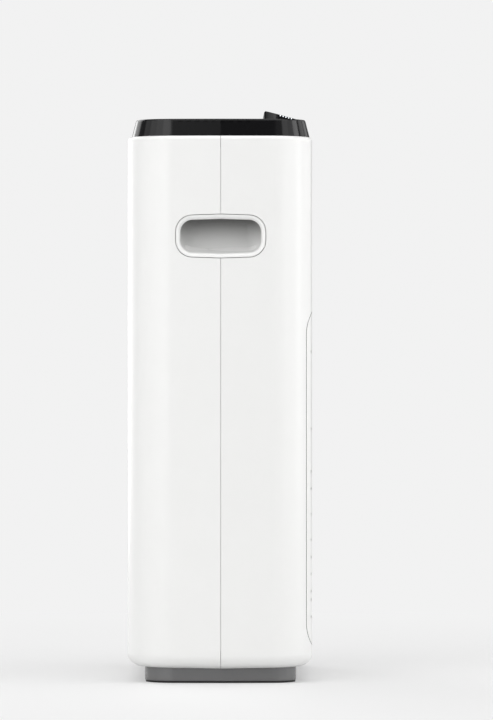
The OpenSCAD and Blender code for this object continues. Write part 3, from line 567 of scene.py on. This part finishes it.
def cover_loop(grow, section):
    """Outline of the front cover on the front half's strip."""
    w = COVER_HALF + grow
    h = cover_high[2] - cover_low[2] + 2 * grow
    mid = (cover_high[2] + cover_low[2]) / 2
    ring = round_rect(2 * w, h, COVER_R + grow, 12, 0, mid)
    return [(front.s_of_x(x), section.t_of_z(z)) for x, z in ring]


def cover_lines():
    """Lines that the meshes of the cover and its ledge follow round the corners."""
    return [((s, LINE_Z0), (s, LINE_Z1)) for s in front.cuts()]


def build_front_shell():
    """The front half with the cover's opening, the ledge behind it and a groove round that."""
    opening = cover_loop(COVER_GAP + COVER_SHY, shell)
    skin = wall(front, [shell_outline(front), opening], shell_lines(front))
    pockets = [circle(MAGNET_HOLE, 24, x, z) for x in (-MAGNET_X, MAGNET_X)
               for z in (cover_low[2] + MAGNET_IN, cover_high[2] - MAGNET_IN)]
    around = [cover_loop(-GROOVE_IN, plain), cover_loop(-LEDGE_IN, plain)]
    ledge = wall(front, around + pockets, cover_lines(), plain, LEDGE_U0, LEDGE_U1)
    around = [cover_loop(GROOVE_OUT, plain), cover_loop(-GROOVE_IN - GROOVE_LAP, plain)]
    groove = wall(front, around, cover_lines(), plain, GROOVE_U0, GROOVE_U1)
    obj = make("front_half_shell", joined(skin, ledge, groove), "white_gloss", "housing")
    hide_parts("front_shell")


screw_spots = ((-125, 44), (125, 44), (-100, 300), (100, 300), (-100, 640), (100, 640))   # mm


def revolve(profile, x, z, n=32):
    """A ring about the Y axis through (x, z). The profile is closed: (radius, y), clockwise."""
    verts, polys, loops = [], [], []
    m = len(profile)
    for i in range(n):
        a = 2 * math.pi * i / n
        verts += [(x + r * math.cos(a), y, z + r * math.sin(a)) for r, y in profile]
    for i in range(n):
        for j in range(m):
            k = (j + 1) % m
            i2 = (i + 1) % n
            polys.append((i * m + j, i2 * m + j, i2 * m + k, i * m + k))
            dr, dy = profile[k][0] - profile[j][0], profile[k][1] - profile[j][1]
            size = math.hypot(dr, dy)
            nr, ny = dy / size, -dr / size
            ends = []
            for a in (2 * math.pi * i / n, 2 * math.pi * (i + 1) / n):
                ends.append((nr * math.cos(a), ny, nr * math.sin(a)))
            loops.append([ends[0], ends[1], ends[1], ends[0]])
    return verts, polys, loops


def plate(loops, y0, y1):
    """A flat plate parallel to XZ, between two depths."""
    def at(y):
        return lambda p: ((p[0], y, p[1]), (0, 1, 0))

    points, faces = fill(loops, [])
    return thick(points, faces, at(y1), at(y0))


def build_rear_shell():
    """The rear half with its screw bosses, the inlet's frame, the door's opening and stops."""
    loops = [shell_outline(rear)]
    parts = []
    for x, z in screw_spots:
        x, z = x * MM, z * MM
        loops.append([(-a, shell.t_of_z(b)) for a, b in circle(HEAD_R, 28, -x, z)])
        y = REAR_Y - WALL + 0.1 * MM
        end, seat = REAR_Y - BOSS_LENGTH, REAR_Y - HEAD_SEAT
        parts.append(revolve([(HEAD_R, y), (BOSS_R, y), (BOSS_R, end), (SCREW_BORE, end),
                              (SCREW_BORE, seat), (HEAD_R, seat)], x, z))
    bezel = round_rect(33 * MM, 26 * MM, 2.5 * MM, 6, INLET_X, INLET_Z)
    loops.append([(x, shell.t_of_z(z)) for x, z in bezel])
    frame_loops = [round_rect(36 * MM, 29 * MM, 3 * MM, 6, INLET_X, INLET_Z),
                   rect(28.2 * MM, 21.2 * MM, INLET_X, INLET_Z)]
    parts.append(plate(frame_loops, REAR_Y - 3.2 * MM, REAR_Y - 1.5 * MM))
    loops.append([(x, shell.t_of_z(z)) for x, z in rect(DOOR_W, DOOR_H, DOOR_X, DOOR_Z)])
    for m in (-1, 1):
        stop = rect(8 * MM, 6 * MM, DOOR_X + m * 18 * MM, DOOR_Z - DOOR_H / 2)
        parts.append(plate([stop], REAR_Y - 4.2 * MM, REAR_Y - 2.5 * MM))
        ear = rect(4 * MM, 8 * MM, DOOR_X + m * (DOOR_W / 2 + 2.4 * MM), PIN_Z)
        parts.append(plate([ear], REAR_Y - 6 * MM, REAR_Y - 2.5 * MM))
    skin = wall(rear, loops, shell_lines(rear))
    obj = make("rear_half_shell", joined(skin, *parts, tongue()), "white_gloss", "housing")
    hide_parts("rear_shell")


def tongue():
    """The strip inside the seam, on both sides, that closes the gap between the shells."""
    def edge(m, u):
        x = HALF_W - u / math.cos(SLOPE)
        return [(m * (x - abs(dy) * math.tan(SLOPE)), SEAM_Y + dy) for dy in (-TONGUE_HALF, 0, TONGUE_HALF)]

    pieces = []
    for m in (-1, 1):
        ring = edge(m, WALL) + edge(m, TONGUE_U1)[::-1]
        pieces.append(prism(ring, TONGUE_Z0, GRIP_Z - TONGUE_CLEAR))
        pieces.append(prism(ring, GRIP_Z + TONGUE_CLEAR, TONGUE_Z1))
    return joined(*pieces)


def prism(ring, z0, z1):
    """An upright prism with flat faces over a closed outline seen from above."""
    n = len(ring)
    area = sum(ring[i][0] * ring[(i + 1) % n][1] - ring[(i + 1) % n][0] * ring[i][1] for i in range(n))
    if area < 0:
        ring = ring[::-1]
    verts = [(x, y, z0) for x, y in ring] + [(x, y, z1) for x, y in ring]
    polys = [tuple(range(n))[::-1], tuple(range(n, 2 * n))]
    loops = [[(0, 0, -1)] * n, [(0, 0, 1)] * n]
    for i in range(n):
        j = (i + 1) % n
        polys.append((i, j, j + n, i + n))
        dx, dy = ring[j][0] - ring[i][0], ring[j][1] - ring[i][1]
        size = math.hypot(dx, dy)
        loops.append([(dy / size, -dx / size, 0)] * 4)
    return verts, polys, loops


# ---------------------------------------------------------------- front cover

EDGE_ROWS = (0, 9, 14, 16, 19, 22, 24, 26, 28, 29, 31)
HOLE_ROWS, HOLE_COLS = 32, 15
HOLE_PITCH, HOLE_R, HOLE_TOP = 10.5 * MM, 2.5 * MM, 405.5 * MM


def holes_above(row, phase):
    """How many holes a column has down to that row: more and more of them further down."""
    return math.floor(0.05 * row + 0.0092 * row * row + phase)


def has_hole(col, row):
    """Whether a hole is there: the rule of the frame's own cover."""
    if abs(col) == HOLE_COLS:
        return row in EDGE_ROWS
    phase = (abs(col) * 0.618 + 0.35) % 1
    return holes_above(row, phase) > holes_above(row - 1, phase)


def build_cover():
    """The perforated front cover. Its sides lie in the shade of its narrow gap, so they carry painted shade,
    a grey colour.
    """
    loops = [cover_loop(-COVER_SHY, plain)]
    for col in range(-HOLE_COLS, HOLE_COLS + 1):
        for row in range(HOLE_ROWS):
            if has_hole(col, row):
                ring = circle(HOLE_R, 20, col * HOLE_PITCH, HOLE_TOP - row * HOLE_PITCH)
                loops.append([(front.s_of_x(x), z) for x, z in ring])
    skin = wall(front, loops, cover_lines(), plain, 0, COVER_T)
    obj = make("perforated_cover", skin, "white_gloss", "front_cover_body")
    # the cover's outer side walls get painted shade
    obj.data.materials.append(looks["edge_painted_shade"])
    for face in obj.data.polygons:
        x, _, z = face.center
        if len(face.vertices) == 4 and (abs(x) > EDGE_X or not EDGE_Z[0] < z < EDGE_Z[1]):
            face.material_index = 1
    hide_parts("front_cover")


# ---------------------------------------------------------------- grips

def loft(rings):
    """Quads between rings of as many points each, with a fan over each end."""
    n = len(rings[0])
    verts = [p for ring in rings for p in ring]
    polys = []
    for k in range(len(rings) - 1):
        for i in range(n):
            j = (i + 1) % n
            polys.append((k * n + i, k * n + j, (k + 1) * n + j, (k + 1) * n + i))
    for k, first, second in ((0, 1, 0), (len(rings) - 1, 0, 1)):
        verts.append(tuple(sum(p[c] for p in rings[k]) / n for c in range(3)))
        for i in range(n):
            polys.append((k * n + (i + first) % n, k * n + (i + second) % n, len(verts) - 1))
    return verts, polys


SHARP = math.radians(50)


def smooth_object(name, verts, polys, look, body):
    """A mesh object shaded smooth, except where faces meet at a sharp angle."""
    mesh = bpy.data.meshes.new(name)
    mesh.from_pydata(verts, [], polys)
    bm = bmesh.new()
    bm.from_mesh(mesh)
    bmesh.ops.recalc_face_normals(bm, faces=bm.faces)
    bm.to_mesh(mesh)
    bm.free()
    mesh.shade_smooth()
    mesh.set_sharp_from_angle(angle=SHARP)
    return placed(mesh, look, body)


def mirrored(half):
    """A closed ring from its half with positive dy."""
    return half + [(-y, z) for y, z in reversed(half[1:-1])]


def grip_ring(inset):
    """The grip's whole outline as (dy, dz) from its centre."""
    return mirrored(grip_outline(inset))


def cup_ring(inset, n=9):
    """The outline of the recess's back, with the same points as grip_ring."""
    w, h, r = CUP_W / 2 - inset, CUP_H / 2 - inset, max(CUP_R - inset, CUP_END_R)
    half = [(0, h)] + arc(w - r, h - r, r, 90, 0, n) + arc(w - r, r - h, r, 0, -90, n) + [(0, -h)]
    return [(y, z + CUP_UP) for y, z in mirrored(half)]


def build_grip(side, name, node):
    """A carry grip: a rounded lip flush with the side faces and a cup that climbs inwards."""
    def on_face(ring, depth):
        """Points at a depth below the sloping side faces."""
        return [(side * (HALF_W - depth - abs(y) * math.tan(SLOPE)), SEAM_Y + y, GRIP_Z + z)
                for y, z in ring]

    def flat(ring, depth):
        return [(side * (HALF_W - depth), SEAM_Y + y, GRIP_Z + z) for y, z in ring]

    def between(a, b, share):
        return [tuple(p + (q - p) * share for p, q in zip(u, v)) for u, v in zip(a, b)]

    def quarter_turn(steps):
        return [math.radians(90 * k / steps) for k in range(steps + 1)]

    skirt, edge, roll, cup_wall, shy = 7 * MM, 0.5 * MM, 5.3 * MM, 2 * MM, 0.4 * MM
    open_inset = LIP + GRIP_GAP
    rings = [flat(cup_ring(-cup_wall), GRIP_DEPTH + cup_wall), flat(grip_ring(cup_wall), skirt + 1 * MM),
             on_face(grip_ring(cup_wall), skirt), on_face(grip_ring(shy), skirt)]
    for a in quarter_turn(3):
        rings.append(on_face(grip_ring(shy + edge * (1 - math.cos(a))), edge * (1 - math.sin(a))))
    for a in quarter_turn(12):
        inset = open_inset - roll * (1 - math.sin(a))
        rings.append(on_face(grip_ring(inset), roll * (1 - math.cos(a))))
    # the cup: one smooth bowl from the mouth to a small back high up inside
    mouth, back = rings[-1], flat(cup_ring(CUP_R), GRIP_DEPTH)
    first = (len(rings) - 1) * len(mouth)
    for a in quarter_turn(18)[1:]:
        sink = between(mouth, back, math.sin(a))
        draw = between(mouth, back, 1 - math.cos(a))
        rings.append([(p[0], q[1], q[2]) for p, q in zip(sink, draw)])
    verts, polys = loft(rings)
    obj = smooth_object(name, verts, polys, "white_gloss", "housing")
    # the cup's faces carry the painted shade of the recess
    obj.data.materials.append(looks["cup_painted_shade"])
    for face in obj.data.polygons:
        if min(face.vertices) >= first:
            face.material_index = 1
    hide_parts(node)


build_front_shell()
build_rear_shell()
build_cover()
build_grip(1, "right_carry_grip", "right_grip")
build_grip(-1, "left_carry_grip", "left_grip")


# ---------------------------------------------------------------- floor, light and camera

BACKDROP = 0.887                        # the even tone of the studio behind the object


def studio_floor():
    """Pale matt floor that melts into the backdrop's tone further away. It looks as bright as
    the backdrop, but throws only a little light back on to the object."""
    m = material("studio_floor", (0.86, 0.86, 0.86), 0.6, Specular_IOR_Level=0.2)
    shader = m.node_tree.nodes["Principled BSDF"]
    out = m.node_tree.nodes["Material Output"]
    glow = add(m, "ShaderNodeEmission", Color=(BACKDROP, BACKDROP, BACKDROP, 1), Strength=1.0)
    dull = add(m, "ShaderNodeBsdfDiffuse", Color=(0.7, 0.7, 0.7, 1))
    coords = object_coords(m)
    away = add(m, "ShaderNodeVectorMath", operation="LENGTH")
    link(m, coords, "Object", away, 0)
    fade = add(m, "ShaderNodeMapRange", interpolation_type="SMOOTHSTEP")
    for key, value in zip(("From Min", "From Max", "To Min", "To Max"), (0.15, 1.5, 0.35, 1.0)):
        fade.inputs[key].default_value = value
    link(m, away, "Value", fade, "Value")
    mix = add(m, "ShaderNodeMixShader")
    link(m, fade, "Result", mix, 0)
    link(m, shader, 0, mix, 1)
    link(m, glow, 0, mix, 2)
    ray = add(m, "ShaderNodeLightPath")
    final = add(m, "ShaderNodeMixShader")
    link(m, ray, "Is Camera Ray", final, 0)
    link(m, dull, 0, final, 1)
    link(m, mix, 0, final, 2)
    link(m, final, 0, out, "Surface")
    return m


def floor_plane(half):
    """A square floor of that half width, under the object."""
    mesh = bpy.data.meshes.new("floor")
    corners = [(x, y, 0) for x, y in rect(2 * half, 2 * half, 0, 0)]
    mesh.from_pydata(corners, [], [(0, 1, 2, 3)])
    mesh.materials.append(studio_floor())
    obj = bpy.data.objects.new("floor", mesh)
    bpy.context.scene.collection.objects.link(obj)


def studio_world(ambient):
    """The camera sees the plain backdrop; the object is lit by a dimmer, even room."""
    world = bpy.data.worlds.new("studio")
    bpy.context.scene.world = world
    world.use_nodes = True
    tree = world.node_tree
    seen = tree.nodes["Background"]
    seen.inputs["Color"].default_value = (BACKDROP, BACKDROP, BACKDROP, 1)
    room = tree.nodes.new("ShaderNodeBackground")
    room.name = "room"
    room.inputs["Strength"].default_value = ambient
    ray = tree.nodes.new("ShaderNodeLightPath")
    mix = tree.nodes.new("ShaderNodeMixShader")
    tree.links.new(ray.outputs["Is Camera Ray"], mix.inputs[0])
    tree.links.new(room.outputs[0], mix.inputs[1])
    tree.links.new(seen.outputs[0], mix.inputs[2])
    tree.links.new(mix.outputs[0], tree.nodes["World Output"].inputs["Surface"])


def softbox(name, place, target, width, height, power):
    """A rectangular panel of light that faces the target."""
    data = bpy.data.lights.new(name, "AREA")
    data.shape = "RECTANGLE"
    data.size, data.size_y = width, height
    data.energy = power
    obj = bpy.data.objects.new(name, data)
    bpy.context.scene.collection.objects.link(obj)
    obj.location = place
    obj.rotation_euler = (Vector(target) - Vector(place)).to_track_quat("-Z", "Y").to_euler()


# Upright softboxes in a ring: the bearing of each, in degrees from the side (-X) towards the
# rear, the angle it spans and its power.
PANELS = ((-135, 20, 30), (-112, 20, 42), (-85, 20, 105), (-65, 20, 39), (-45, 20, 51), (-25, 20, 8),
          (10, 12, 8), (25, 20, 75), (45, 20, 55), (65, 20, 44), (85, 20, 24), (128, 20, 60), (150, 20, 107))
PANEL_AWAY, PANEL_LOW, PANEL_HIGH = 6, 0.02, 5

floor_plane(60)
studio_world(0.25)
for bearing, spread, power in PANELS:
    a = math.radians(bearing)
    level = (PANEL_LOW + PANEL_HIGH) / 2
    place = (-PANEL_AWAY * math.cos(a), PANEL_AWAY * math.sin(a), level)
    wide = 2 * PANEL_AWAY * math.tan(math.radians(spread / 2))
    softbox(f"panel_{bearing}", place, (0, 0, level), wide, PANEL_HIGH - PANEL_LOW, power)
softbox("overhead_softbox", (-0.8, 0, 5.5), (0, 0, 0.4), 5.0, 5.0, 169)

camera = bpy.data.objects.new("camera", bpy.data.cameras.new("camera"))
bpy.context.scene.collection.objects.link(camera)
camera.data.lens = 245.9
camera.data.clip_end = 100
camera.location = (-6.2, -0.0328, 0.3955)
camera.rotation_euler = (math.radians(90), 0, math.radians(-90))
bpy.context.scene.camera = camera
bpy.context.scene.view_settings.view_transform = "Standard"
